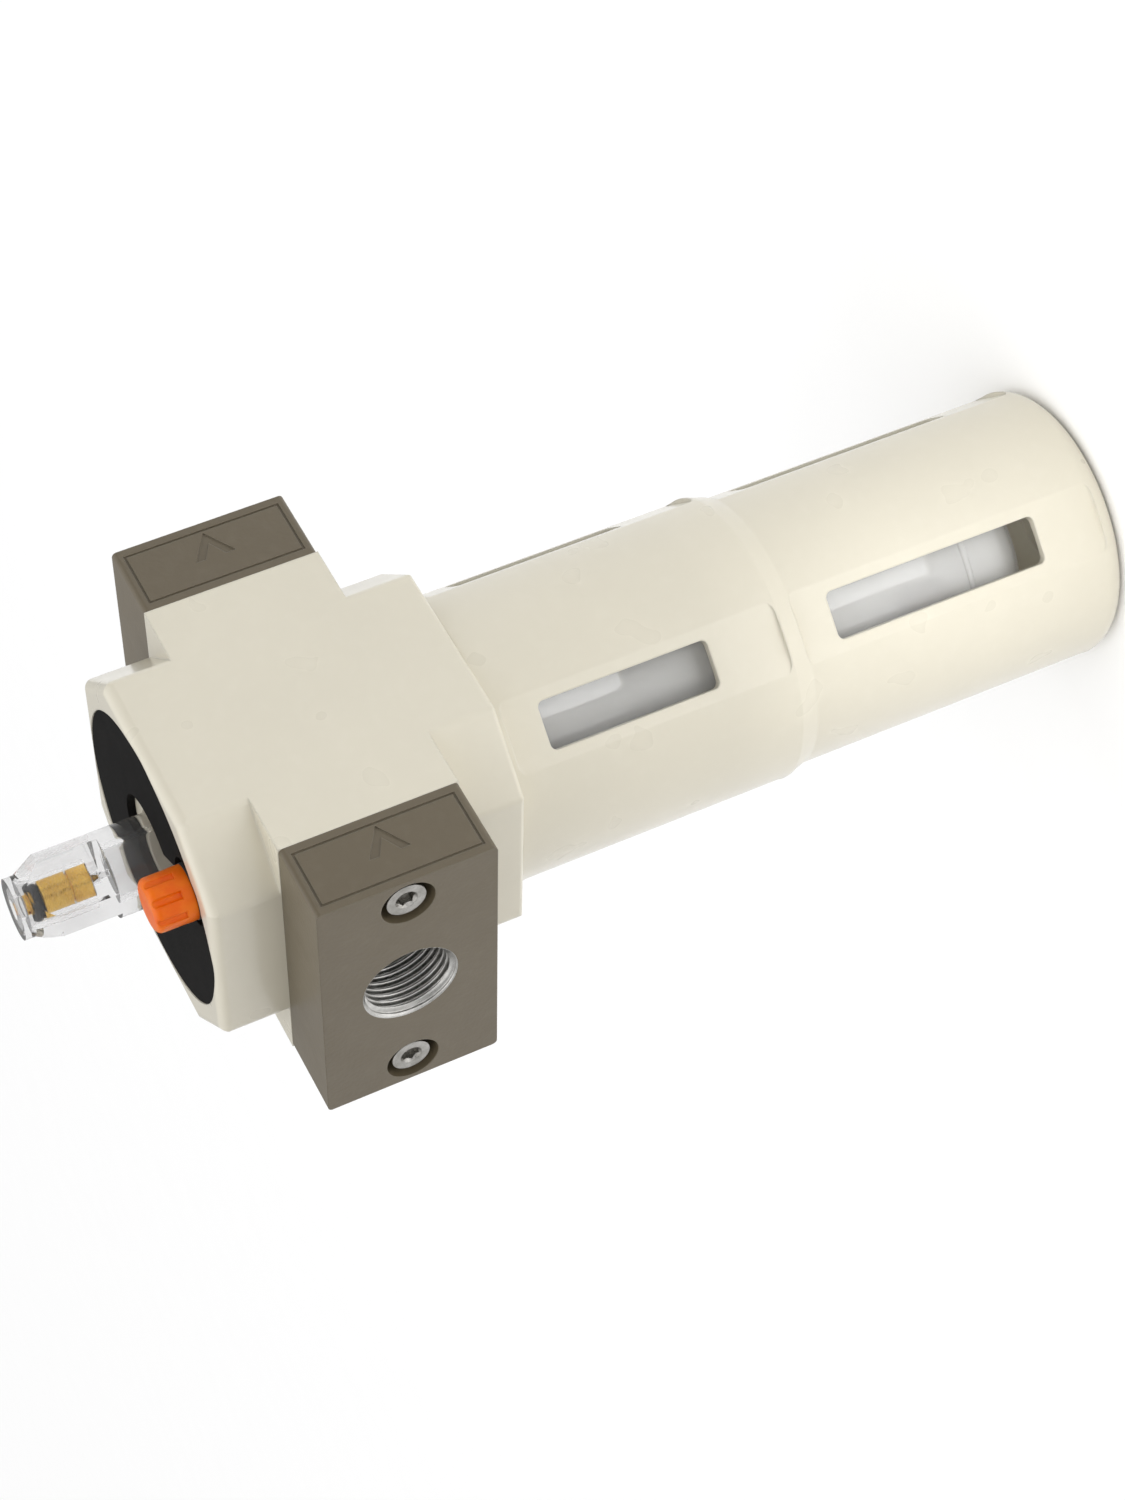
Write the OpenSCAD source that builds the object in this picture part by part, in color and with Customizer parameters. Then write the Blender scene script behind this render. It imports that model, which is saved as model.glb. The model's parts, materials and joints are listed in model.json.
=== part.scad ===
// Compressed air lubricator with a sight dome, filler plug and guarded bowl.
// Millimetres, +Z up, origin under the middle of the guard, X along the air flow.

/* [Overall] */
// Distance between the two port faces
body_w = 85; // [70:0.5:110]
// Depth of the housing and the plates, front to back
body_d = 56; // [46:0.1:70]
// Height of the middle block of the housing
block_h = 32; // [27:0.5:40]
// Height of the port axis above the foot of the guard
port_z = 150.5; // [125:0.1:190]

/* [Housing] */
// Thickness of each connecting plate along the flow
plate_t = 14.7; // [12:0.1:18]
// How far the slanted facets lie out past the flat front
facet_over = 3.3; // [2:0.1:6]
// Height of the collar top above the port axis
collar_top = 28.4; // [26:0.1:35]
// Depth of the lower flange below the port axis
flange_drop = 28.2; // [27:0.1:35]
// Rounding of the collar's top rim
top_rim = 2; // [0.5:0.1:3]
// Rounding of the flange's lower rim
low_rim = 0.8; // [0.3:0.1:2]
// Rounding of the upright edges between the facets
facet_blend = 1.8; // [0.5:0.1:4]
// Radius of the air passage
passage_r = 7.6; // [6:0.02:9.2]

/* [Plates] */
// Radius of the port thread at its roots
port_r = 8.33; // [6.5:0.01:10.5]
// Length of the port thread
port_len = 12; // [9:0.5:14]
// Radius of a plate screw
screw_r = 1.95; // [1.45:0.05:2.45]
// Radius of the head of a plate screw
screw_head_r = 3.5; // [2.7:0.1:4.2]
// Distance from the front of the plate to the screw axis
screw_inset = 5.7; // [5.2:0.1:8]
// Width of the debossed lines and arrow edges
line_w = 0.45; // [0.2:0.05:1]
// Depth of the debossed lines and arrow
deboss = 0.3; // [0.1:0.05:0.6]

/* [Top] */
// Radius of the sight dome
dome_r = 7.7; // [6.4:0.02:9.4]
// Height of the dome tip above the port axis
dome_top = 53.2; // [50:0.1:60]
// Distance from the dome axis to each wrench flat
dome_flat = 5.75; // [5:0.05:7]
// Radius of the filler plug head
plug_r = 4.85; // [4:0.01:6]
// Height of the filler plug head
plug_h = 7.3; // [5:0.1:10]
// Distance from the dome axis to the filler plug axis
plug_reach = 22; // [19:0.1:24]
// Direction of the filler plug from the dome axis
plug_angle = -145.4; // [-180:0.1:180]
// Number of grooves around the filler plug
plug_grooves = 8; // [4:1:16]

/* [Guard] */
// How far the guard wall sits in from the flat front
guard_in = 1.4; // [0.5:0.1:3]
// Step inwards between the upper and lower guard sections
guard_step = 1.15; // [0:0.05:2.5]
// Wall thickness of the guard
guard_wall = 2.4; // [1.6:0.02:3]
// Rounding of the foot of the guard
foot_round = 4.2; // [1:0.1:7]
// Width of a window
window_w = 8.7; // [5:0.1:11]
// Share of the guard height above its step
guard_split = 0.4465; // [0.35:0.0005:0.55]
// Width of the flat panel around a window
panel_w = 13; // [11:0.1:15]
// Number of window columns
window_columns = 4; // [2:1:5]
// Direction of the first window column
window_angle = -132.3; // [-180:0.1:180]

/* [Bowl and oil pick-up] */
// Gap between the guard and the bowl
bowl_gap = 2; // [1:0.1:3]
// Wall thickness of the bowl
bowl_wall = 2.2; // [1.5:0.1:3]
// Radius of the siphon tube
siphon_r = 2.5; // [1.5:0.1:3]
// Distance from the port axis plane to the siphon tube
siphon_y = 12; // [11:0.1:14]

/* [Hidden] */
$fn = 96;
eps = 0.01;                  // overlap between pieces cut or joined
fit = 0.05;                  // clearance between fixed pieces
run = 0.06;                  // radial clearance of pieces that turn or slide
round_steps = 48;            // segments of small rounds

cream = [0.87, 0.84, 0.75];
taupe = [0.42, 0.38, 0.32];
steel = [0.72, 0.72, 0.73];
black = [0.06, 0.06, 0.06];
clear = [0.85, 0.88, 0.90, 0.4];
brass = [0.80, 0.62, 0.30];
orange = [0.93, 0.42, 0.06];
bronze = [0.62, 0.48, 0.30];

housing_w = body_w - 2 * plate_t;
plate_gap = 0.1;
plate_h = block_h - 2 * plate_gap;
plate_round = 0.9;
side_reach = body_d / 2 - 0.2;          // collar's flat sides from the axis
facet_reach = body_d / 2 + facet_over;  // slanted facets from the axis
facets = 8;
facet_turn = 360 / facets;

// Plate screws: socket heads sunk in round recesses.
screw_y = body_d / 2 - screw_inset;
screw_head_h = 2 * screw_r;
screw_recess_r = screw_head_r + 1.3;
screw_sunk = 0.7;
screw_clear = 0.25;
screw_grip = 10;
screw_end_gap = 1;
screw_turns = [-20, 12];     // how far the sockets happen to be turned
socket_af = 1.54 * screw_r;
socket_deep = screw_r;
socket_lead = [0.5, 0.66, 0.2]; // lead-in: two radii and height per width of the socket
port_chamfer = 0.3;

// Plate seals sit in grooves in the ends of the housing block.
seal_mid_r = passage_r + 2.7;
seal_cord_r = 0.68;
seal_groove_w = 2 * seal_cord_r + 0.6;
seal_groove_d = 2 * seal_cord_r + fit;

// Flow arrow and line frame on the plate fronts.
frame_inset = 1.5;
arrow_len = 5.9;
arrow_half = 3.65;
arrow_in = 1.87;
arrow_notch = 2.6;
arrow_ahead = 5.1;

// Top disc, its recess and the openings in it.
disc_r = body_d / 2 - 1.5;
disc_t = 1.5;
disc_sunk = 0.2;
disc_z = collar_top - disc_sunk - disc_t;
disc_hole_r = dome_r + 2.5;
disc_hole_at = [0.8, -0.9];
disc_notch_r = plug_r + 1.15;
disc_channel = 5.2;
plug_at = [plug_reach * cos(plug_angle), plug_reach * sin(plug_angle)];

// Sight dome: base in a socket, neck below it, head with three flats.
flat_count = 3;
flat_angle = -114;
dome_shoulder = dome_top - 16.4;
dome_cone_z = dome_top - 5.9;
dome_tip_z = dome_top - 1.9;
dome_tip_r = dome_r - 2.2;
dome_base_z = 20;
socket_z = 18.3;
socket_gap = 0.5;
neck_r = dome_r - 1.5;
neck_z = 12.3;
neck_floor = 12;
dome_bore_r = 4.2;
dome_bore_top = dome_shoulder - 0.6;
orifice_r = 0.6;
dome_seal_cord = 0.72;
drip_r = 2;

// Metering screw in the dome head, with one turn of travel upwards.
meter_af = 6.4;
meter_r = meter_af / sqrt(3);
meter_travel = 1;
meter_bore_r = meter_r + run;
meter_z = dome_shoulder + 3;
meter_waist_z = meter_z + 3.4;
meter_waist_h = 0.4;
meter_waist_r = 2.9;
meter_top = meter_z + 8.6;
meter_stem_r = 2.1;
meter_stem_top = meter_top + 1.7;
meter_nose_r = 1.75;
meter_nose_top = dome_top - 2;
meter_slot = 0.7;
needle_h = 1.6;
needle_r = 1.1;
needle_tip_r = 0.4;
meter_seal_z = meter_top + 0.85;
meter_seal_cord = 0.7;
meter_seal_mid = meter_stem_r + meter_seal_cord + run;

// Filler plug: stem down a bore in the housing, washer under the head.
plug_z = collar_top;
plug_washer_r = plug_r + 0.1;
plug_pocket_r = plug_washer_r + 0.3;
plug_stem_r = plug_r - 0.95;
plug_stem_h = 6;
plug_edge = 1.3;
groove_r = 0.75;
groove_angle = -126;
groove_start = 1.2;
groove_tilt = 1.5;
filler_bore_r = plug_stem_r + run;
filler_z = -6;
filler_duct_r = 2.4;
filler_duct_over = 1;        // how far the duct is cut past the cavity ceiling
filler_duct_at = 0.62 * plug_at; // foot of the duct in the cavity ceiling

// Lower end: spigot of the guard and rim of the bowl in a cavity of the housing.
guard_r = body_d / 2 - guard_in;
guard_low_r = guard_r - guard_step;
spigot_r = guard_r - 1.9;
cavity_r = spigot_r + run;
cavity_z = -19.5;
spigot_top = -24;
spigot_in = spigot_r - 2.3;
guard_top = -flange_drop - 0.15;
guard_wall_top = guard_top - 2.5;
spigot_slope = 1;            // height of the cone inside the guard under its spigot
step_z = guard_top + guard_split * (-port_z - guard_top);
step_low_z = step_z - 3.6;
guard_in_r = guard_r - guard_wall;
guard_low_in_r = guard_low_r - guard_wall;
foot_t = 2.6;
foot_z = -port_z;
foot_hole_r = 7;
panel_end = 1.6;
panel_corner = 3;
window_corner = 1.2;
upper_window_in = [13.8, 8.55]; // ends in from the step and from the guard's top
lower_window_in = [15.7, 6.4];  // ends in from the foot and from the step
upper_panel_in = [0.4, 1.9];
lower_panel_in = [3.5, -0.5];
upper_window = [step_z + upper_window_in[0], guard_top - upper_window_in[1]];
lower_window = [foot_z + lower_window_in[0], step_low_z - lower_window_in[1]];
upper_panel = [step_z + upper_panel_in[0], guard_top - upper_panel_in[1]];
lower_panel = [foot_z + lower_panel_in[0], step_low_z - lower_panel_in[1]];
panel_flat = sqrt(pow(guard_r, 2) - pow(panel_w / 2, 2));
panel_low_flat = sqrt(pow(guard_low_r, 2) - pow(panel_w / 2, 2));
cut_deep = 8;

bowl_bead_r = 0.6;
bowl_r = guard_low_in_r - bowl_gap + 0.5;
bowl_in_r = bowl_r - bowl_wall;
bowl_rim_r = cavity_r - 0.35;
bowl_rim_h = 3;
bowl_rim_z = spigot_top + fit;
bowl_low = foot_z + 16;
bowl_round = 9;
bowl_bead_z = bowl_low + bowl_round + 4;
bowl_seal_cord = 0.66;
bowl_seal_mid = (bowl_in_r + bowl_rim_r) / 2;

// Siphon: holder in the cavity ceiling, check ball, tube and foot filter.
siphon_at = [0, siphon_y];
holder_r = 4.4;
holder_top = -9.5;
holder_flange_r = 5.6;
holder_flange_h = 2.5;
holder_low = cavity_z - 9;
riser_r = 1.2;
riser_top = 16;
ball_r = 1.9;
ball_room = 0.35;
ball_seat_z = cavity_z + 1.3;
ball_lift = 1.5;
tube_in_r = siphon_r - 1;
tube_top = cavity_z - 3;
filter_r = 4.5;
filter_h = 9;
filter_lift = 3.2;           // filter above the floor of the bowl
filter_low = bowl_low + bowl_wall + filter_lift;
filter_grip = 4;
filter_round = 1;
filter_floor = 2;
tube_low = filter_low + filter_h - filter_grip;

// Air inlet valve to the bowl: ball pushed up to its seat by a spring.
valve_at = [-14 * (housing_w / 55.6), 0];
valve_r = 4;
valve_top = -11.5;
valve_hole_r = 1.1;
valve_in_r = 2.1;
valve_lip = 1;
valve_lip_r = 0.9;
valve_ball_r = 1.7;
valve_seat_t = 1.2;
spring_wire = 0.22;
spring_coils = 4;
spring_mid = 1.3;
spring_sides = 8;
spring_steps = 14;

// Flow vane behind a sleeve pressed into the passage.
sleeve_r = passage_r - fit;
sleeve_in = 4.6;
sleeve_a = -8;
sleeve_b = 4;
sleeve_mouth_r = sleeve_in + 1.6;
sleeve_mouth_len = 3;
ear_y = 4.35;
ear_t = 1.1;
ear_low = 1;
ear_end = 1.6;
pin_x = 6.2;
pin_z = 4.2;
pin_r = 0.6;
vane_r = 5.3;
vane_t = 1;
vane_gap = 0.1;
vane_top = 3;
knuckle_r = 1.2;
knuckle_half = ear_y - 0.15;
vane_lap = 0.3;

// Raises the port axis to its height above the foot.
module on_axis() {
    translate([0, 0, port_z]) children();
}

// Rounded rectangle centred on the origin.
module round_rect(w, h, r) {
    square([w - 2 * r, h], center = true);
    square([w, h - 2 * r], center = true);
    for (x = [-1, 1], y = [-1, 1])
        translate([x * (w / 2 - r), y * (h / 2 - r)]) circle(r, $fn = round_steps);
}

// Round body from z = 0 upwards with its top rim rounded.
module rimmed(r, h, edge) {
    rotate_extrude() {
        square([r - edge, h]);
        square([r, h - edge]);
        translate([r - edge, h - edge]) intersection() {
            circle(edge);
            square(edge);
        }
    }
}

// Ring with a round section.
module o_ring(mid, cord) {
    rotate_extrude() translate([mid, 0]) circle(cord, $fn = round_steps);
}

// Upright tube between two heights.
module tube(outer, inner, low, high) {
    difference() {
        translate([0, 0, low]) cylinder(r = outer, h = high - low);
        translate([0, 0, low - eps]) cylinder(r = inner, h = high - low + 2 * eps);
    }
}

// Upright round hole between two heights.
module shaft(r, low, high) {
    translate([0, 0, low]) cylinder(r = r, h = high - low);
}

// Round bar along X between two stations.
module bar_x(r, a, b) {
    translate([a, 0, 0]) rotate([0, 90, 0]) cylinder(r = r, h = b - a);
}

// Slot with round corners between two heights, cut radially out of the guard.
module radial_slot(w, span, corner, inner, outer) {
    translate([inner, 0, (span[0] + span[1]) / 2]) rotate([90, 0, 90])
        linear_extrude(outer - inner) round_rect(w, span[1] - span[0], corner);
}

// Distance of side i of the collar from the axis: a flat side, a facet or the flat front.
function side_at(i) =
    i % 2 == 1 ? facet_reach : i % 4 == 0 ? side_reach : body_d / 2;

// Middle of the rounded corner between sides i and i + 1.
function corner_at(i) =
    let (a = facet_turn * i, b = a + facet_turn)
    let (p = side_at(i) - facet_blend, q = side_at(i + 1) - facet_blend)
    [p * sin(b) - q * sin(a), q * cos(a) - p * cos(b)] / sin(facet_turn);

// Plan of the collar and the flange: eight sides with rounded corners.
module collar_plan() {
    polygon([for (i = [0 : facets - 1], j = [0, 1])
        let (a = facet_turn * (i + j)) corner_at(i) + facet_blend * [cos(a), sin(a)]]);
    for (i = [0 : facets - 1])
        translate(corner_at(i)) circle(facet_blend, $fn = round_steps);
}

// Bar as wide as two opposite sides of the collar are apart, with its long rims rounded.
module rim_bar(i) {
    reach = side_at(i);
    rotate([90, 0, facet_turn * i]) linear_extrude(4 * facet_reach, center = true) {
        translate([-reach, low_rim - flange_drop])
            square([2 * reach, flange_drop + collar_top - low_rim - top_rim]);
        translate([top_rim - reach, 0]) square([2 * (reach - top_rim), collar_top]);
        translate([low_rim - reach, -flange_drop]) square([2 * (reach - low_rim), flange_drop]);
        for (s = [-1, 1]) {
            translate([s * (reach - top_rim), collar_top - top_rim])
                circle(top_rim, $fn = round_steps);
            translate([s * (reach - low_rim), low_rim - flange_drop])
                circle(low_rim, $fn = round_steps);
        }
    }
}

// Outside of the housing: square block, eight-sided collar above it and flange below it.
module housing_outline() {
    translate([-housing_w / 2, -body_d / 2, -block_h / 2]) cube([housing_w, body_d, block_h]);
    difference() {
        intersection() {
            translate([0, 0, -flange_drop]) linear_extrude(flange_drop + collar_top) collar_plan();
            rim_bar(0);
            rim_bar(1);
            rim_bar(2);
            rim_bar(3);
        }
        translate([-body_w, -body_d, -block_h / 2]) cube([2 * body_w, 2 * body_d, block_h]);
    }
}

module housing() {
    slant = norm(plug_at - filler_duct_at);
    run_len = norm([slant, filler_z - cavity_z]);
    lean = atan2(slant, filler_z - cavity_z);
    color(cream) on_axis() difference() {
        housing_outline();
        bar_x(passage_r, -housing_w / 2 - eps, housing_w / 2 + eps);
        shaft(disc_r + fit, disc_z, collar_top + eps);
        translate([plug_at[0], plug_at[1], 0]) shaft(plug_pocket_r, disc_z, collar_top + eps);
        shaft(dome_r + socket_gap, socket_z, collar_top);
        shaft(neck_r + fit, neck_floor, collar_top);
        shaft(drip_r, 0, neck_floor + eps);
        shaft(cavity_r, -flange_drop - eps, cavity_z);
        translate([plug_at[0], plug_at[1], filler_z]) {
            cylinder(r = filler_bore_r, h = collar_top - filler_z + eps);
            rotate([0, 0, plug_angle]) rotate([0, lean, 0]) mirror([0, 0, 1])
                cylinder(r = filler_duct_r, h = run_len + filler_duct_over);
        }
        translate([siphon_at[0], siphon_at[1], 0]) {
            shaft(holder_r + fit, cavity_z - eps, holder_top);
            shaft(riser_r, holder_top - eps, riser_top);
        }
        translate([0, 0, riser_top - riser_r]) rotate([-90, 0, 0])
            cylinder(r = riser_r, h = siphon_y);
        translate([valve_at[0], valve_at[1], 0]) {
            shaft(valve_r + fit, cavity_z - eps, valve_top);
            shaft(valve_hole_r, valve_top - eps, 0);
        }
        for (side = [-1, 1]) {
            for (y = [-screw_y, screw_y])
                translate([side * housing_w / 2, y, 0]) rotate([0, -90 * side, 0])
                    translate([0, 0, -eps])
                        cylinder(r = screw_r + fit, h = screw_grip + screw_end_gap);
            translate([side * (housing_w / 2 - seal_groove_d), 0, 0]) rotate([0, 90 * side, 0])
                tube(seal_mid_r + seal_groove_w / 2, seal_mid_r - seal_groove_w / 2,
                     0, seal_groove_d + eps);
        }
    }
}

// Outline of a rectangle, one line wide.
module line_frame(w, h) {
    difference() {
        square([w, h], center = true);
        square([w - 2 * line_w, h - 2 * line_w], center = true);
    }
}

// Chevron pointing along +X.
module chevron() {
    polygon([
        [0, 0], [-arrow_len, arrow_half], [-arrow_len, arrow_in], [-arrow_notch, 0],
        [-arrow_len, -arrow_in], [-arrow_len, -arrow_half]
    ]);
}

// Connecting plate from its inner face at x = 0 to its port face.
module plate_blank() {
    head_floor = plate_t - screw_sunk - screw_head_h;
    difference() {
        rotate([90, 0, 90]) linear_extrude(plate_t) round_rect(body_d, plate_h, plate_round);
        bar_x(passage_r, -eps, plate_t);
        bar_x(port_r, plate_t - port_len, plate_t + eps);
        translate([plate_t - port_chamfer, 0, 0]) rotate([0, 90, 0])
            cylinder(r1 = port_r, r2 = port_r + port_chamfer + eps, h = port_chamfer + eps);
        for (y = [-screw_y, screw_y]) translate([0, y, 0]) {
            bar_x(screw_r + screw_clear, -eps, plate_t);
            bar_x(screw_recess_r, head_floor, plate_t + eps);
        }
    }
}

// Plate on its side of the housing, with the line frame and arrow on its front.
module plate(side) {
    mid = side * (housing_w + plate_t) / 2;
    color(taupe) on_axis() difference() {
        translate([side * housing_w / 2, 0, 0]) mirror([side < 0 ? 1 : 0, 0, 0]) plate_blank();
        translate([mid, -body_d / 2 + deboss, 0]) rotate([90, 0, 0]) linear_extrude(deboss + eps) {
            line_frame(plate_t - 2 * frame_inset, plate_h - 2 * frame_inset);
            translate([arrow_ahead, 0]) chevron();
        }
    }
}

module inlet_plate() {
    plate(-1);
}

module outlet_plate() {
    plate(1);
}

// One socket-head screw with its head top at z = 0 and its shank downwards.
module socket_screw() {
    shank = plate_t - screw_sunk - screw_head_h + screw_grip;
    difference() {
        union() {
            shaft(screw_head_r, -screw_head_h, 0);
            shaft(screw_r, -screw_head_h - shank, -screw_head_h + eps);
        }
        translate([0, 0, -socket_deep])
            cylinder(r = socket_af / sqrt(3), h = socket_deep + eps, $fn = 6);
        translate([0, 0, -socket_af * socket_lead[2]])
            cylinder(r1 = socket_af * socket_lead[0], r2 = socket_af * socket_lead[1],
                     h = socket_af * socket_lead[2] + eps);
    }
}

module plate_screws() {
    color(steel) on_axis()
        for (side = [-1, 1], y = [-screw_y, screw_y])
            translate([side * (body_w / 2 - screw_sunk), y, 0]) rotate([0, 90 * side, 0])
                rotate([0, 0, screw_turns[side * y > 0 ? 1 : 0]]) socket_screw();
}

module plate_seal(side) {
    x = side * (housing_w / 2 - seal_groove_d / 2);
    color(black) on_axis() translate([x, 0, 0]) rotate([0, 90, 0]) o_ring(seal_mid_r, seal_cord_r);
}

module inlet_plate_seal() {
    plate_seal(-1);
}

module outlet_plate_seal() {
    plate_seal(1);
}

module top_disc() {
    reach = norm(plug_at - disc_hole_at);
    aim = atan2(plug_at[1] - disc_hole_at[1], plug_at[0] - disc_hole_at[0]);
    color(black) on_axis() translate([0, 0, disc_z + fit]) linear_extrude(disc_t - fit)
        difference() {
            circle(disc_r);
            translate(disc_hole_at) {
                circle(disc_hole_r);
                rotate(aim) translate([0, -disc_channel / 2]) square([reach, disc_channel]);
            }
            translate(plug_at) circle(disc_notch_r);
        }
}

module sight_dome() {
    color(clear) on_axis() difference() {
        rotate_extrude() polygon([
            [0, neck_z], [neck_r, neck_z], [neck_r, dome_base_z], [dome_r, dome_base_z],
            [dome_r, dome_cone_z], [dome_tip_r, dome_tip_z], [dome_tip_r, dome_top],
            [0, dome_top]
        ]);
        for (i = [0 : flat_count - 1])
            rotate([0, 0, flat_angle + i * 360 / flat_count])
                translate([dome_flat, -dome_r, dome_shoulder])
                    cube([dome_r, 2 * dome_r, dome_top - dome_shoulder + eps]);
        shaft(dome_bore_r, neck_z - eps, dome_bore_top);
        shaft(orifice_r, dome_bore_top - eps, meter_z);
        shaft(needle_r + run, meter_z - needle_h - fit, meter_z);
        shaft(meter_bore_r, meter_z - fit, meter_nose_top + meter_travel / 2);
        shaft(meter_nose_r + run, meter_nose_top, dome_top + eps);
        translate([0, 0, riser_top - riser_r]) rotate([-90, 0, 0])
            cylinder(r = riser_r, h = dome_r);
    }
}

module dome_seal() {
    color(black) on_axis() translate([0, 0, (socket_z + dome_base_z) / 2])
        o_ring(neck_r + dome_seal_cord + fit, dome_seal_cord);
}

module metering_screw() {
    color(brass) on_axis() difference() {
        union() {
            translate([0, 0, meter_z]) cylinder(r = meter_r, h = meter_waist_z - meter_z, $fn = 6);
            shaft(meter_waist_r, meter_waist_z - eps, meter_waist_z + meter_waist_h + eps);
            translate([0, 0, meter_waist_z + meter_waist_h])
                cylinder(r = meter_r, h = meter_top - meter_waist_z - meter_waist_h, $fn = 6);
            shaft(meter_stem_r, meter_top - eps, meter_stem_top);
            shaft(meter_nose_r, meter_stem_top - eps, meter_nose_top);
            translate([0, 0, meter_z - needle_h])
                cylinder(r1 = needle_tip_r, r2 = needle_r, h = needle_h + eps);
        }
        translate([-meter_nose_r - eps, -meter_slot / 2, meter_nose_top - meter_slot])
            cube([2 * meter_nose_r + 2 * eps, meter_slot, meter_slot + eps]);
    }
}

module metering_screw_seal() {
    color(black) on_axis() translate([0, 0, meter_seal_z]) o_ring(meter_seal_mid, meter_seal_cord);
}

module filler_plug() {
    color(orange) on_axis() translate([plug_at[0], plug_at[1], plug_z]) difference() {
        union() {
            rimmed(plug_r, plug_h, plug_edge);
            shaft(plug_stem_r, -plug_stem_h, eps);
        }
        for (i = [0 : plug_grooves - 1])
            rotate([0, 0, groove_angle + i * 360 / plug_grooves])
                translate([plug_r, 0, groove_start + groove_r]) rotate([0, groove_tilt, 0])
                    cylinder(r = groove_r, h = plug_h, $fn = round_steps);
    }
}

module filler_plug_seal() {
    color(black) on_axis() translate([plug_at[0], plug_at[1], 0])
        tube(plug_washer_r, plug_stem_r + run, disc_z + fit, plug_z);
}

// Section of the guard wall from its axis outwards, foot included.
module guard_section() {
    polygon([
        [guard_low_in_r, foot_z + foot_t], [guard_low_r - eps, foot_z + foot_round],
        [guard_low_r, foot_z + foot_round], [guard_low_r, step_low_z], [guard_r, step_z],
        [guard_r, guard_top], [spigot_r, guard_top], [spigot_r, spigot_top],
        [spigot_in, spigot_top], [spigot_in, guard_top - spigot_slope],
        [guard_in_r, guard_wall_top - spigot_slope],
        [guard_in_r, step_z], [guard_low_in_r, step_low_z]
    ]);
    translate([foot_hole_r, foot_z]) square([guard_low_r - foot_round - foot_hole_r, foot_t]);
    translate([guard_low_r - foot_round, foot_z + foot_round]) intersection() {
        circle(foot_round);
        translate([0, -foot_round]) square(foot_round);
    }
}

module bowl_guard() {
    cut_w = panel_w + panel_end;
    color(cream) on_axis() difference() {
        rotate_extrude() guard_section();
        for (i = [0 : window_columns - 1]) rotate([0, 0, window_angle + i * 360 / window_columns]) {
            radial_slot(cut_w, upper_panel, panel_corner, panel_flat, panel_flat + cut_deep);
            radial_slot(cut_w, lower_panel, panel_corner, panel_low_flat, panel_low_flat + cut_deep);
            radial_slot(window_w, upper_window, window_corner, bowl_r, guard_r + eps);
            radial_slot(window_w, lower_window, window_corner, bowl_r, guard_r + eps);
        }
    }
}

// Bowl: wall, rounded floor, rim that rests on the guard, and a bead ring near the floor.
module bowl() {
    color(clear) on_axis() difference() {
        union() {
            translate([0, 0, spigot_top + fit]) mirror([0, 0, 1])
                rimmed(bowl_r, spigot_top + fit - bowl_low, bowl_round);
            shaft(bowl_rim_r, bowl_rim_z, bowl_rim_z + bowl_rim_h);
            translate([0, 0, bowl_bead_z]) o_ring(bowl_r, bowl_bead_r);
        }
        translate([0, 0, bowl_rim_z]) mirror([0, 0, 1])
            rimmed(bowl_in_r, bowl_rim_z - bowl_low - bowl_wall, bowl_round - bowl_wall);
        shaft(bowl_in_r, bowl_rim_z - eps, bowl_rim_z + bowl_rim_h + eps);
    }
}

module bowl_seal() {
    color(black) on_axis() translate([0, 0, bowl_rim_z + bowl_rim_h + bowl_seal_cord])
        o_ring(bowl_seal_mid, bowl_seal_cord);
}

module siphon_holder() {
    color(black) on_axis() translate([siphon_at[0], siphon_at[1], 0]) difference() {
        union() {
            shaft(holder_r, cavity_z - holder_flange_h, holder_top - fit);
            shaft(holder_flange_r, cavity_z - holder_flange_h, cavity_z - fit);
            shaft(holder_r, holder_low, cavity_z - holder_flange_h + eps);
        }
        shaft(siphon_r + fit, holder_low - eps, tube_top);
        shaft(tube_in_r, tube_top - eps, ball_seat_z);
        shaft(ball_r + ball_room, ball_seat_z, ball_seat_z + 2 * ball_r + ball_lift);
        shaft(riser_r, ball_seat_z, holder_top);
    }
}

module siphon_check_ball() {
    drop = sqrt(pow(ball_r, 2) - pow(tube_in_r, 2));
    color(steel) on_axis() translate([siphon_at[0], siphon_at[1], ball_seat_z + drop + fit])
        sphere(ball_r);
}

module siphon_tube() {
    color(clear) on_axis() translate([siphon_at[0], siphon_at[1], 0])
        tube(siphon_r, tube_in_r, tube_low, tube_top - fit);
}

module siphon_filter() {
    color(bronze) on_axis() translate([siphon_at[0], siphon_at[1], 0]) difference() {
        rotate_extrude() {
            translate([0, filter_low]) square([filter_r - filter_round, filter_h]);
            translate([0, filter_low + filter_round])
                square([filter_r, filter_h - 2 * filter_round]);
            for (z = [filter_low + filter_round, filter_low + filter_h - filter_round])
                translate([filter_r - filter_round, z]) circle(filter_round, $fn = round_steps);
        }
        shaft(siphon_r + fit, tube_low - fit, filter_low + filter_h + eps);
        shaft(tube_in_r, filter_low + filter_floor, tube_low);
    }
}

module venturi_sleeve() {
    color(black) on_axis() difference() {
        union() {
            bar_x(sleeve_r, sleeve_a, sleeve_b);
            intersection() {
                bar_x(sleeve_r, sleeve_b - eps, pin_x + ear_end);
                for (s = [-1, 1])
                    translate([sleeve_b - eps, s > 0 ? ear_y : -ear_y - ear_t, pin_z - ear_low])
                        cube([pin_x + ear_end - sleeve_b, ear_t, ear_low + ear_end]);
            }
        }
        bar_x(sleeve_in, sleeve_a - eps, sleeve_b + eps);
        bar_x(sleeve_mouth_r, sleeve_a - eps, sleeve_a + sleeve_mouth_len);
        shaft(drip_r, 0, passage_r);
        translate([pin_x, 0, pin_z]) rotate([90, 0, 0])
            cylinder(r = pin_r + fit, h = 2 * passage_r, center = true);
    }
}

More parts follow.
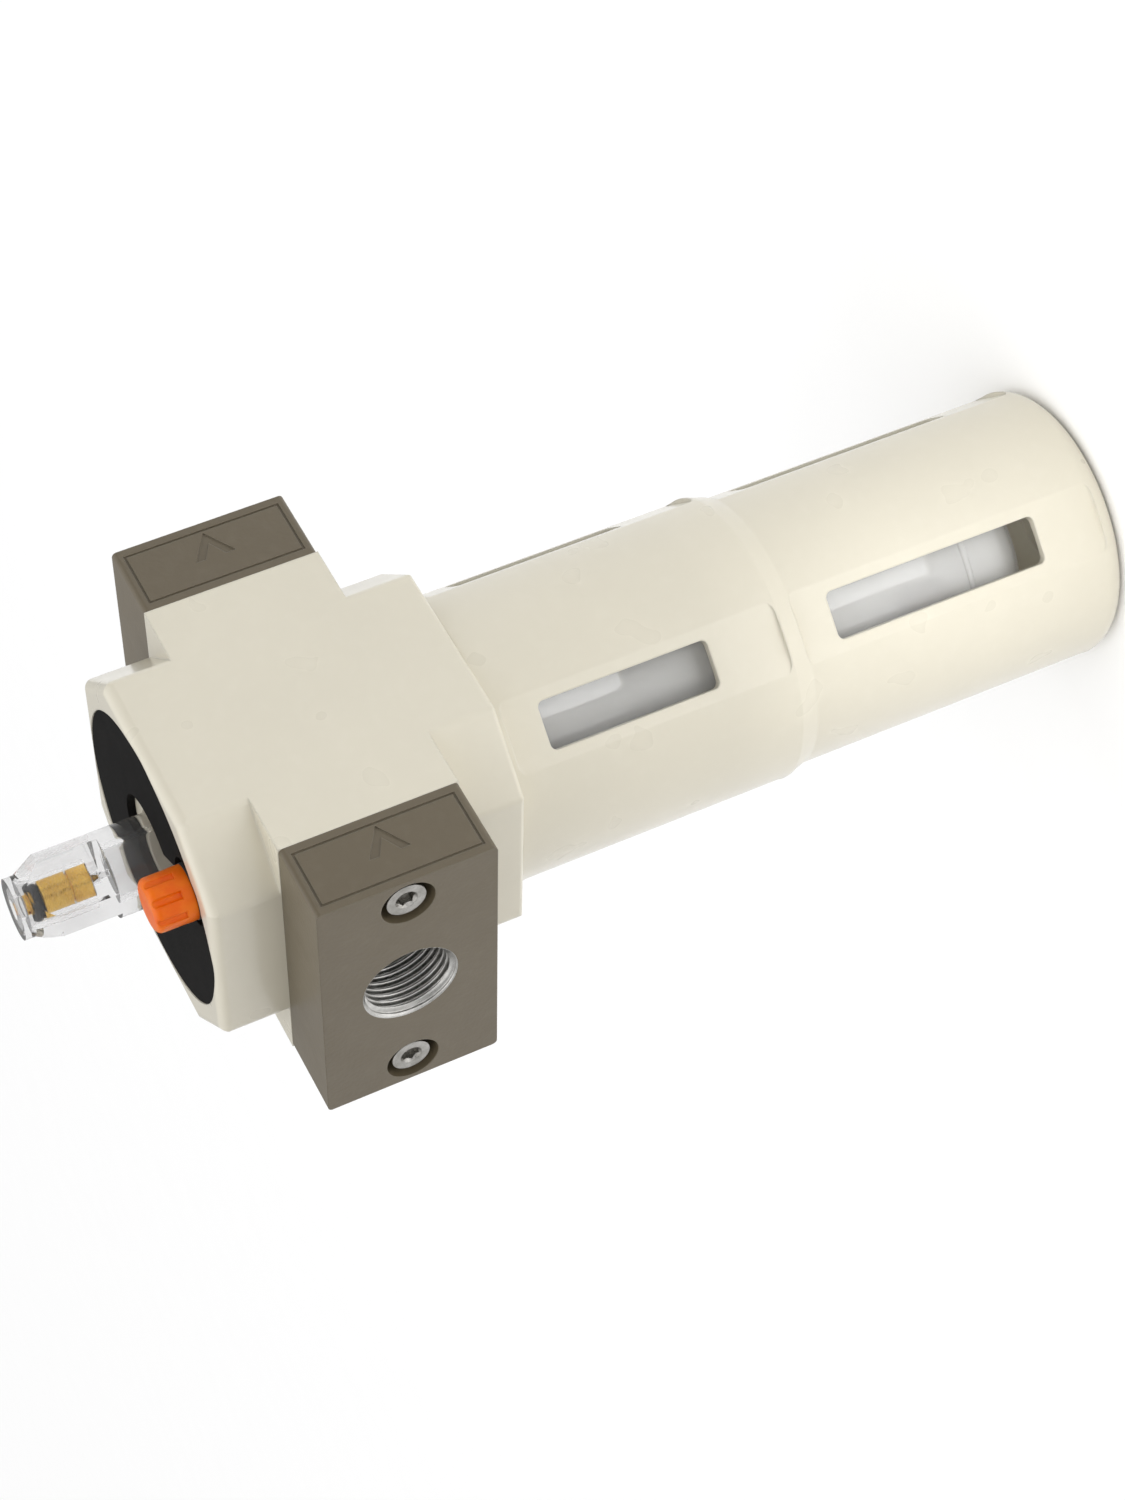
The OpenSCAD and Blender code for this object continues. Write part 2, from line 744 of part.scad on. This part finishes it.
module vane_pin() {
    color(steel) on_axis() translate([pin_x, 0, pin_z]) rotate([90, 0, 0])
        cylinder(r = pin_r, h = 2 * (ear_y + ear_t), center = true);
}

module flow_vane() {
    color(black) on_axis() difference() {
        union() {
            intersection() {
                bar_x(vane_r, sleeve_b + vane_gap, sleeve_b + vane_gap + vane_t);
                translate([0, -vane_r, -vane_r]) cube([body_w, 2 * vane_r, vane_r + vane_top]);
            }
            translate([pin_x, 0, pin_z]) rotate([90, 0, 0])
                cylinder(r = knuckle_r, h = 2 * knuckle_half, center = true);
            translate([sleeve_b + vane_gap, -knuckle_half, vane_top - vane_lap])
                cube([pin_x - sleeve_b - vane_gap, 2 * knuckle_half, pin_z - vane_top + vane_lap]);
        }
        translate([pin_x, 0, pin_z]) rotate([90, 0, 0])
            cylinder(r = pin_r + run, h = 2 * passage_r, center = true);
    }
}

module valve_seat() {
    ball_top = valve_top - valve_seat_t;
    color(brass) on_axis() translate([valve_at[0], valve_at[1], 0]) difference() {
        shaft(valve_r, cavity_z + fit, valve_top - fit);
        shaft(valve_hole_r, ball_top - eps, valve_top);
        shaft(valve_in_r, cavity_z + valve_lip, ball_top);
        shaft(valve_lip_r, cavity_z, cavity_z + valve_lip + eps);
    }
}

function valve_ball_z() =
    valve_top - valve_seat_t - sqrt(pow(valve_ball_r, 2) - pow(valve_hole_r, 2)) - fit;

module valve_ball() {
    color(steel) on_axis() translate([valve_at[0], valve_at[1], valve_ball_z()])
        sphere(valve_ball_r);
}

// Ring of points round the spring's centre line.
function coil_ring(i, n, low, rise) =
    let (a = i * 360 / spring_steps, z = low + rise * i / n)
    [for (j = [0 : spring_sides - 1])
        let (b = j * 360 / spring_sides, r = spring_mid + spring_wire * cos(b))
        [r * cos(a), r * sin(a), z + spring_wire * sin(b)]];

module valve_spring() {
    n = spring_coils * spring_steps;
    low = cavity_z + valve_lip + spring_wire + fit;
    contact = sqrt(pow(valve_ball_r + spring_wire + fit, 2) - pow(spring_mid, 2));
    rise = valve_ball_z() - contact - low;
    m = spring_sides;
    pts = [for (i = [0 : n]) each coil_ring(i, n, low, rise)];
    sides = [for (i = [0 : n - 1], j = [0 : m - 1])
        [i * m + j, i * m + (j + 1) % m, (i + 1) * m + (j + 1) % m, (i + 1) * m + j]];
    ends = [[for (j = [m - 1 : -1 : 0]) j], [for (j = [0 : m - 1]) n * m + j]];
    color(steel) on_axis() translate([valve_at[0], valve_at[1], 0])
        polyhedron(points = pts, faces = concat(sides, ends));
}

housing();
inlet_plate();
outlet_plate();
plate_screws();
inlet_plate_seal();
outlet_plate_seal();
top_disc();
sight_dome();
dome_seal();
metering_screw();
metering_screw_seal();
filler_plug();
filler_plug_seal();
bowl_guard();
bowl();
bowl_seal();
siphon_holder();
siphon_check_ball();
siphon_tube();
siphon_filter();
venturi_sleeve();
vane_pin();
flow_vane();
valve_seat();
valve_ball();
valve_spring();
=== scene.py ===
"""Looks of an air line lubricator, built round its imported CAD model. Metres, +Z up, flow along +X."""

import json
import math

import bpy
from mathutils import Matrix, Vector


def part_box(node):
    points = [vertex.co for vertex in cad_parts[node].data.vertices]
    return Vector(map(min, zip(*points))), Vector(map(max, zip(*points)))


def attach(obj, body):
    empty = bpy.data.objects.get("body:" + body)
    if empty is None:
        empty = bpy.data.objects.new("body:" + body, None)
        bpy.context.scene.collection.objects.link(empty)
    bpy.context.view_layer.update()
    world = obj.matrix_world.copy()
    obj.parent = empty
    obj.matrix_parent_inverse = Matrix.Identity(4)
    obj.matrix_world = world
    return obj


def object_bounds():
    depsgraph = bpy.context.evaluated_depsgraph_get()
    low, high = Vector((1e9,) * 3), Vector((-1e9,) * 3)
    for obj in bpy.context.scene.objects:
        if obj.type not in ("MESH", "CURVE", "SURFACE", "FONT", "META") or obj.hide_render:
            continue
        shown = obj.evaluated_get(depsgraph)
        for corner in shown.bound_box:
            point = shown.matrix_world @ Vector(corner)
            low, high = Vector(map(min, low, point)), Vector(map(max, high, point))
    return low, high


MM = 0.001
WHITE = (1.0, 1.0, 1.0)

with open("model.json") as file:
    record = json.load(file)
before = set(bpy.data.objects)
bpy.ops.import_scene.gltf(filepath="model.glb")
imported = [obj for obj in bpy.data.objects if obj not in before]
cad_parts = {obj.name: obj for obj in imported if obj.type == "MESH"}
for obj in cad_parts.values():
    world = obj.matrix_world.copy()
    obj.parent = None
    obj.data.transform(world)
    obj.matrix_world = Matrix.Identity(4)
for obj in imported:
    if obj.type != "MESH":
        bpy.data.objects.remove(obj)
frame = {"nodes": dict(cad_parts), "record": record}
cad_low, cad_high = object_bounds()


# ---------------------------------------------------------------- places

inlet_low, inlet_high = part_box("inlet_plate")
outlet_low, outlet_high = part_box("outlet_plate")
PORT_FACES = (inlet_low.x, outlet_high.x)
SPAN = PORT_FACES[1] - PORT_FACES[0]
PORT_CENTRE = Vector((0.0, 0.0, (inlet_low.z + inlet_high.z) / 2))
MOUNTS = {m["name"]: m for m in frame["record"]["mounts"]}
PORT_R = MOUNTS["inlet_port"]["dims"]["r_mm"] * MM
THREAD_LEN = MOUNTS["inlet_port"]["dims"]["length_mm"] * MM


# ---------------------------------------------------------------- node helpers


def linear(red, green, blue):
    """Scene colour of an 8-bit display colour."""
    return tuple(
        c / 12.92 if c <= 0.04045 else ((c + 0.055) / 1.055) ** 2.4
        for c in (red / 255, green / 255, blue / 255)
    )


class Tree:
    """A material's nodes, with its Principled shader and object coordinates in metres."""

    def __init__(self, name):
        self.material = bpy.data.materials.new(name)
        self.material.use_nodes = True
        self.tree = self.material.node_tree
        self.shader = next(n for n in self.tree.nodes if n.type == "BSDF_PRINCIPLED")
        self.where = self.add("ShaderNodeTexCoord").outputs["Object"]

    def add(self, kind, inputs=None, **settings):
        """Adds a node. A socket among the inputs is linked and a value is set."""
        made = self.tree.nodes.new(kind)
        for name, value in settings.items():
            setattr(made, name, value)
        for name, value in (inputs or {}).items():
            self.feed(made.inputs[name], value)
        return made

    def feed(self, socket, value):
        if isinstance(value, bpy.types.NodeSocket):
            self.tree.links.new(value, socket)
        else:
            socket.default_value = value

    def set(self, **values):
        """Sets the Principled shader's sockets, named with underscores for spaces."""
        for name, value in values.items():
            self.feed(self.shader.inputs[name.replace("_", " ")], value)

    def noise(self, size, detail=2.0, rough=0.5, stretch=None):
        """Noise whose features are about size metres across."""
        where = self.where
        if stretch:
            where = self.add(
                "ShaderNodeVectorMath", {0: where, 1: stretch}, operation="MULTIPLY"
            ).outputs[0]
        inputs = {"Vector": where, "Scale": 1 / size, "Detail": detail, "Roughness": rough}
        return self.add("ShaderNodeTexNoise", inputs).outputs["Fac"]

    def spread(self, value, low, high, to_low=0.0, to_high=1.0):
        """Maps low..high of a value to to_low..to_high, clamped."""
        inputs = {
            "Value": value,
            "From Min": low,
            "From Max": high,
            "To Min": to_low,
            "To Max": to_high,
        }
        return self.add("ShaderNodeMapRange", inputs).outputs["Result"]

    def maths(self, operation, a, b=0.0):
        return self.add("ShaderNodeMath", {0: a, 1: b}, operation=operation).outputs[0]

    def blend(self, share, first, second):
        """Colour between first and second by share."""
        made = self.add("ShaderNodeMix", data_type="RGBA")
        sockets = {s.identifier: s for s in made.inputs}
        self.feed(sockets["Factor_Float"], share)
        for key, value in (("A_Color", first), ("B_Color", second)):
            value = value if isinstance(value, bpy.types.NodeSocket) else (*value, 1.0)
            self.feed(sockets[key], value)
        return next(s for s in made.outputs if s.identifier == "Result_Color")

    def soft_edge(self, radius):
        """Normal with edges rounded over radius metres, and how near an edge a point is."""
        rounded = self.add("ShaderNodeBevel", {"Radius": radius}, samples=6).outputs[0]
        flat = self.add("ShaderNodeNewGeometry").outputs["Normal"]
        facing = self.add(
            "ShaderNodeVectorMath", {0: rounded, 1: flat}, operation="DOT_PRODUCT"
        ).outputs["Value"]
        return rounded, self.spread(facing, 0.98, 0.75)

    def bump(self, height, depth, normal=None, strength=1.0):
        """Normal of a relief whose height 0..1 stands for depth metres."""
        inputs = {"Height": height, "Distance": depth, "Strength": strength}
        if normal is not None:
            inputs["Normal"] = normal
        return self.add("ShaderNodeBump", inputs).outputs["Normal"]

    def let_light_in(self):
        """Lets lamps and bounced light straight through, so that what is behind is lit."""
        path = self.add("ShaderNodeLightPath").outputs
        through = self.add("ShaderNodeBsdfTransparent", {"Color": (0.97, 0.97, 0.97, 1.0)})
        surface = self.shader
        for ray in ("Is Shadow Ray", "Is Diffuse Ray"):
            sides = {0: path[ray], 1: surface.outputs[0], 2: through.outputs[0]}
            surface = self.add("ShaderNodeMixShader", sides)
        output = next(n for n in self.tree.nodes if n.type == "OUTPUT_MATERIAL")
        self.feed(output.inputs["Surface"], surface.outputs[0])

    def specks(self, spacing, size, share):
        """1 inside small round specks, in about share of the cells of that spacing."""
        cells = self.add(
            "ShaderNodeTexVoronoi", {"Vector": self.where, "Scale": 1 / spacing}
        ).outputs
        near = self.spread(cells["Distance"], size / spacing, 0.6 * size / spacing)
        chosen = self.maths("LESS_THAN", cells["Color"], share)
        return self.maths("MULTIPLY", near, chosen)


# ---------------------------------------------------------------- materials


def enamel(name, colour, edge, gloss, coat, edge_radius, peel_size, peel, specks=None):
    """Sprayed paint on a casting: orange peel, faint clouding, and edges rounded in shading with a
    painted highlight along them.

    Specks, where given, are a colour and the share of cells that hold one.
    """
    t = Tree(name)
    rounded, nearness = t.soft_edge(edge_radius)
    cloud = t.spread(t.noise(22 * MM, 1.5), 0.25, 0.75)
    deep = tuple(c * 0.97 for c in colour)
    base = t.blend(cloud, deep, colour)
    base = t.blend(t.spread(t.noise(2.5 * MM, 1.0), 0.5, 0.8, 0, 0.04), base, edge)
    # Painted highlight: the paint turns towards the paler edge colour near edges.
    base = t.blend(t.maths("MULTIPLY", nearness, 0.35), base, edge)
    if specks:
        speck, speck_share = specks
        base = t.blend(t.specks(6 * MM, 0.16 * MM, speck_share), base, speck)
    height = t.noise(peel_size, 1.0, 0.4)
    t.set(
        Base_Color=base,
        Roughness=t.spread(t.noise(9 * MM, 1.5), 0.3, 0.7, gloss - 0.03, gloss + 0.03),
        Coat_Weight=coat,
        Coat_Roughness=0.12,
        Normal=t.bump(height, peel, rounded, 1.0),
    )
    return t.material


def metal(name, colour, tint, roughness, line, stretch, edge_radius=0.12 * MM):
    """Machined metal: fine tool lines, uneven tint and brighter edges, which are a painted highlight.
    """
    t = Tree(name)
    rounded, nearness = t.soft_edge(edge_radius)
    stain = t.spread(t.noise(2.5 * MM, 4, 0.6), 0.38, 0.7)
    base = t.blend(t.maths("MULTIPLY", stain, 0.7), colour, tint)
    # Painted highlight: the colour is lifted a quarter near edges, standing in for the glint on
    # chamfers.
    bright = tuple(min(1.0, 1.25 * c) for c in colour)
    base = t.blend(t.maths("MULTIPLY", nearness, 0.5), base, bright)
    lines = t.noise(line, 3, 0.6, stretch)
    t.set(
        Base_Color=base,
        Metallic=1.0,
        Roughness=t.spread(lines, 0.3, 0.7, roughness - 0.06, roughness + 0.08),
        Normal=t.bump(lines, 0.02 * MM, rounded, 0.5),
    )
    return t.material


def clear_plastic(name, tint, ior, haze, clearness):
    """Moulded clear plastic with slight waviness and haze; the rest of it is milky."""
    t = Tree(name)
    wave = t.noise(6 * MM, 2)
    t.set(
        Base_Color=t.blend(t.noise(12 * MM, 2), tint, WHITE),
        Roughness=t.spread(t.noise(1.2 * MM, 3), 0.35, 0.7, haze, haze + 0.03),
        Transmission_Weight=clearness,
        IOR=ior,
        Normal=t.bump(wave, 0.03 * MM, None, 0.05),
    )
    t.let_light_in()
    return t.material


def moulded(
    name, colour, mottle_and_edge_highlight, roughness, grain, depth, edge_radius=0.25 * MM, sss=0.0, shine=0.5
):
    """Moulded opaque plastic or rubber with a fine spark-eroded grain, paler mottling and paler edges,
    which are a painted highlight.
    """
    t = Tree(name)
    rounded, nearness = t.soft_edge(edge_radius)
    cloud = t.spread(t.noise(4 * MM, 3), 0.35, 0.7)
    base = t.blend(t.maths("MULTIPLY", cloud, 0.5), colour, mottle_and_edge_highlight)
    # Painted highlight: paler colour near edges; the same paler colour also mottles the surface at
    # random.
    base = t.blend(t.maths("MULTIPLY", nearness, 0.4), base, mottle_and_edge_highlight)
    skin = t.noise(grain, 3, 0.6)
    t.set(
        Base_Color=base,
        Roughness=t.spread(skin, 0.3, 0.7, roughness - 0.06, roughness + 0.06),
        Normal=t.bump(skin, depth, rounded, 0.7),
        Specular_IOR_Level=shine,
        Subsurface_Weight=sss,
        Subsurface_Scale=1.5 * MM,
    )
    return t.material


def sintered(name, colour, pore_shade):
    """Bronze beads fused together, with pores between them, darkened as painted shade."""
    t = Tree(name)
    beads = t.add(
        "ShaderNodeTexVoronoi", {"Vector": t.where, "Scale": 1 / (0.45 * MM)}
    ).outputs["Distance"]
    t.set(
        # Painted shade: the colour darkens towards the gaps between beads.
        Base_Color=t.blend(t.spread(beads, 0.2, 0.7), colour, pore_shade),
        Metallic=0.9,
        Roughness=t.spread(beads, 0.1, 0.7, 0.35, 0.7),
        Normal=t.bump(t.spread(beads, 0.0, 0.8, 1.0, 0.0), 0.15 * MM, None, 0.9),
    )
    return t.material


CREAM = linear(217, 211, 193)
TAUPE = linear(97, 87, 68)
LOOKS = {
    "cream_enamel": enamel(
        "cream_enamel", CREAM, linear(240, 236, 224), 0.30, 0.5, 0.6 * MM, 1.6 * MM, 0.012 * MM,
    ),
    "taupe_paint": enamel(
        "taupe_paint", TAUPE, linear(150, 142, 124), 0.42, 0.1, 0.3 * MM, 0.8 * MM, 0.03 * MM,
        (linear(170, 162, 146), 0.05),
    ),
    "screw_steel": metal(
        "screw_steel", linear(176, 174, 170), linear(120, 117, 110), 0.3, 0.25 * MM,
        (1.0, 1.0, 1.0),
    ),
    "ball_steel": metal(
        "ball_steel", linear(205, 205, 208), linear(170, 170, 175), 0.14, 0.4 * MM,
        (1.0, 1.0, 1.0),
    ),
    "bare_metal": metal(
        "bare_metal", linear(205, 204, 201), linear(150, 148, 143), 0.3, 0.5 * MM,
        (12.0, 0.6, 0.6),
    ),
    "seal_rubber": moulded(
        "seal_rubber", linear(20, 20, 20), linear(38, 37, 36), 0.55, 0.3 * MM, 0.02 * MM,
    ),
    "black_plastic": moulded(
        "black_plastic", linear(14, 13, 13), linear(24, 23, 22), 0.8, 0.28 * MM, 0.05 * MM,
        shine=0.08,
    ),
    "clear_plastic": clear_plastic("clear_plastic", linear(198, 197, 197), 1.25, 0.01, 0.97),
    "brass": metal(
        "brass", linear(250, 204, 96), linear(214, 156, 58), 0.24, 0.35 * MM,
        (0.4, 0.4, 6.0),
    ),
    "bowl_plastic": clear_plastic("bowl_plastic", linear(246, 246, 244), 1.3, 0.02, 0.70),
    "orange_plastic": moulded(
        "orange_plastic", linear(228, 96, 0), linear(244, 136, 20), 0.34, 0.5 * MM,
        0.03 * MM, 0.3 * MM, 0.04, 0.25,
    ),
    "sintered_bronze": sintered("sintered_bronze", linear(150, 118, 72), linear(70, 52, 30)),
}

OWN_LOOK = {"bowl": "bowl_plastic"}

for part in frame["record"]["subparts"]:
    surface = frame["nodes"][part["node"]].data
    surface.materials.clear()
    surface.materials.append(LOOKS[OWN_LOOK.get(part["node"], part["material_slot"])])


def machine(node, material, reach):
    """Gives bare metal to a node's faces within reach of the air passage's axis."""
    surface = frame["nodes"][node].data
    surface.materials.append(material)
    for face in surface.polygons:
        offset = face.center - PORT_CENTRE
        if math.hypot(offset.y, offset.z) < reach:
            face.material_index = len(surface.materials) - 1


for name in ("housing", "inlet_plate", "outlet_plate"):
    machine(name, LOOKS["bare_metal"], PORT_R + 0.2 * MM)


# ---------------------------------------------------------------- port threads


def mesh_piece(name, points, faces, material):
    """A mesh object in the row frame."""
    surface = bpy.data.meshes.new(name)
    surface.from_pydata([tuple(p) for p in points], [], faces)
    surface.validate()
    surface.materials.append(material)
    made = bpy.data.objects.new(name, surface)
    bpy.context.scene.collection.objects.link(made)
    return made


def smooth(piece, degrees):
    """Smooth shading that keeps edges sharper than degrees."""
    for face in piece.data.polygons:
        face.use_smooth = True
    piece.data.set_sharp_from_angle(angle=math.radians(degrees))


# A G3/8 thread, with a cone at its mouth. The liner starts just under the port's face, and a
# skin buried in the plate closes it.
PITCH = 1.337 * MM
CREST_R = 7.48 * MM
ROOT_R = PORT_R - 0.02 * MM
LEAD_R = PORT_R + 0.26 * MM
LEAD_LEN = 1.25 * MM
START_DEPTH = 0.03 * MM
SKIN_R = PORT_R + 0.12 * MM
SKIN_START = 0.4 * MM
TURN_STEPS = 96
DEPTH_STEP = 0.085 * MM


def thread_radius(depth, turn):
    """Wall radius of the internal thread at a depth and a share of a turn."""
    phase = (depth / PITCH - turn) % 1.0
    flank = min(1.0, max(0.0, 2.35 * abs(phase - 0.5) - 0.1))
    groove = ROOT_R - (ROOT_R - CREST_R) * (0.5 - 0.5 * math.cos(math.pi * flank))
    lead = LEAD_R - (LEAD_R - CREST_R) * depth / LEAD_LEN
    return max(groove, lead)


def port_thread(name, face_x, inward):
    """Threaded liner of a port, on a plate's end face at face_x."""
    rows = int(THREAD_LEN / DEPTH_STEP)
    points, faces = [], []

    def ring(depth, radius_at):
        for i in range(TURN_STEPS):
            turn = i / TURN_STEPS
            radius = radius_at(turn)
            angle = 2 * math.pi * turn
            points.append(
                PORT_CENTRE
                + Vector(
                    (
                        face_x + inward * depth,
                        radius * math.cos(angle),
                        radius * math.sin(angle),
                    )
                )
            )

    for row in range(rows + 1):
        depth = START_DEPTH + row * DEPTH_STEP
        ring(depth, lambda turn, d=depth: thread_radius(d, turn))
    ring(START_DEPTH + rows * DEPTH_STEP, lambda turn: SKIN_R)
    ring(SKIN_START, lambda turn: SKIN_R)
    count = rows + 3
    for row in range(count):
        after = (row + 1) % count
        for i in range(TURN_STEPS):
            j = (i + 1) % TURN_STEPS
            quad = [
                row * TURN_STEPS + i,
                row * TURN_STEPS + j,
                after * TURN_STEPS + j,
                after * TURN_STEPS + i,
            ]
            faces.append(quad if inward < 0 else quad[::-1])
    piece = mesh_piece(name, points, faces, LOOKS["bare_metal"])
    smooth(piece, 50)
    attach(piece, "block")


port_thread("inlet_thread", PORT_FACES[0], 1)
port_thread("outlet_thread", PORT_FACES[1], -1)


# ---------------------------------------------------------------- floor, light and camera


def view_axes(azimuth, elevation, roll):
    """Right, up and back vectors of a camera, azimuth 0 looking along +Y."""
    a, e, r = (math.radians(v) for v in (azimuth, elevation, roll))
    back = Vector((math.sin(a) * math.cos(e), -math.cos(a) * math.cos(e), math.sin(e)))
    level = Vector((math.cos(a), math.sin(a), 0.0))
    lift = back.cross(level)
    right = level * math.cos(r) + lift * math.sin(r)
    return right, back.cross(right), back


RIGHT, UP, BACK = view_axes(-35.20, 17.116, -110.95)
ASIDE, BELOW, AWAY = 0.519, 0.100, 6.833
LENS = 81.3
SENSOR = 36.0

eye = PORT_CENTRE + SPAN * (ASIDE * RIGHT + BELOW * UP + AWAY * BACK)
camera_data = bpy.data.cameras.new("camera")
camera_data.lens = LENS
camera_data.sensor_width = SENSOR
camera_data.sensor_fit = "AUTO"
camera_data.clip_start = 0.01
camera_data.clip_end = 50
camera = bpy.data.objects.new("camera", camera_data)
bpy.context.scene.collection.objects.link(camera)
bpy.context.scene.camera = camera
camera.matrix_world = Matrix(
    (
        (RIGHT.x, UP.x, BACK.x, eye.x),
        (RIGHT.y, UP.y, BACK.y, eye.y),
        (RIGHT.z, UP.z, BACK.z, eye.z),
        (0, 0, 0, 1),
    )
)


def area_light(name, length, width, power, place):
    """Soft area light, not seen by the camera, facing straight down until it is turned."""
    data = bpy.data.lights.new(name, "AREA")
    data.shape = "RECTANGLE"
    data.size = length
    data.size_y = width
    data.energy = power
    made = bpy.data.objects.new(name, data)
    made.location = place
    made.visible_camera = False
    bpy.context.scene.collection.objects.link(made)
    return made


def softbox(name, direction, distance, size, power):
    """Square soft light that looks at the middle of the object."""
    middle = (cad_low + cad_high) / 2
    place = middle + direction.normalized() * distance
    made = area_light(name, size, size, power, place)
    made.rotation_mode = "QUATERNION"
    made.rotation_quaternion = (middle - place).to_track_quat("-Z", "Y")


softbox("key", Vector((-0.66, -0.75, 0.35)), 1.1, 0.5, 0.8)
softbox("rim", Vector((1.0, -0.5, 0.5)), 1.2, 0.5, 1.0)

# A strip light over the floor, whose bright patch the windows' flat panels reflect.
STRIP_WAY = math.radians(-139.3)
STRIP_REACH, STRIP_HEIGHT = 0.25, 0.08
STRIP_LENGTH, STRIP_WIDTH = 0.36, 0.10
STRIP_POWER = 0.24
strip_place = (
    STRIP_REACH * math.cos(STRIP_WAY),
    STRIP_REACH * math.sin(STRIP_WAY),
    cad_low.z + STRIP_HEIGHT,
)
strip = area_light("strip", STRIP_LENGTH, STRIP_WIDTH, STRIP_POWER, strip_place)
strip.rotation_euler = (0.0, 0.0, STRIP_WAY)


def tent(level, roof):
    """World light of a white tent: level all round, and roof more straight above."""
    made = bpy.data.worlds.new("studio")
    made.use_nodes = True
    tree = made.node_tree
    way = tree.nodes.new("ShaderNodeTexCoord")
    split = tree.nodes.new("ShaderNodeSeparateXYZ")
    height = tree.nodes.new("ShaderNodeMath")
    height.operation = "MAXIMUM"
    height.inputs[1].default_value = 0.0
    steep = tree.nodes.new("ShaderNodeMath")
    steep.operation = "POWER"
    steep.inputs[1].default_value = 3.0
    total = tree.nodes.new("ShaderNodeMath")
    total.operation = "MULTIPLY_ADD"
    total.inputs[1].default_value = roof
    total.inputs[2].default_value = level
    tree.links.new(way.outputs["Generated"], split.inputs[0])
    tree.links.new(split.outputs["Z"], height.inputs[0])
    tree.links.new(height.outputs[0], steep.inputs[0])
    tree.links.new(steep.outputs[0], total.inputs[0])
    tree.links.new(total.outputs[0], tree.nodes["Background"].inputs["Strength"])
    tree.nodes["Background"].inputs["Color"].default_value = (*WHITE, 1.0)
    return made


bpy.context.scene.world = tent(0.40, 1.70)
bpy.context.scene.view_settings.view_transform = "Standard"

FLOOR_HALF = 6.0
floor_look = Tree("floor")
floor_grain = floor_look.noise(30 * MM, 2)
floor_look.set(
    Base_Color=floor_look.blend(floor_grain, (0.93, 0.93, 0.93), (0.95, 0.95, 0.95)),
    Roughness=0.7,
)
floor = mesh_piece(
    "floor",
    [
        (-FLOOR_HALF, -FLOOR_HALF, cad_low.z),
        (FLOOR_HALF, -FLOOR_HALF, cad_low.z),
        (FLOOR_HALF, FLOOR_HALF, cad_low.z),
        (-FLOOR_HALF, FLOOR_HALF, cad_low.z),
    ],
    [(0, 1, 2, 3)],
    floor_look.material,
)
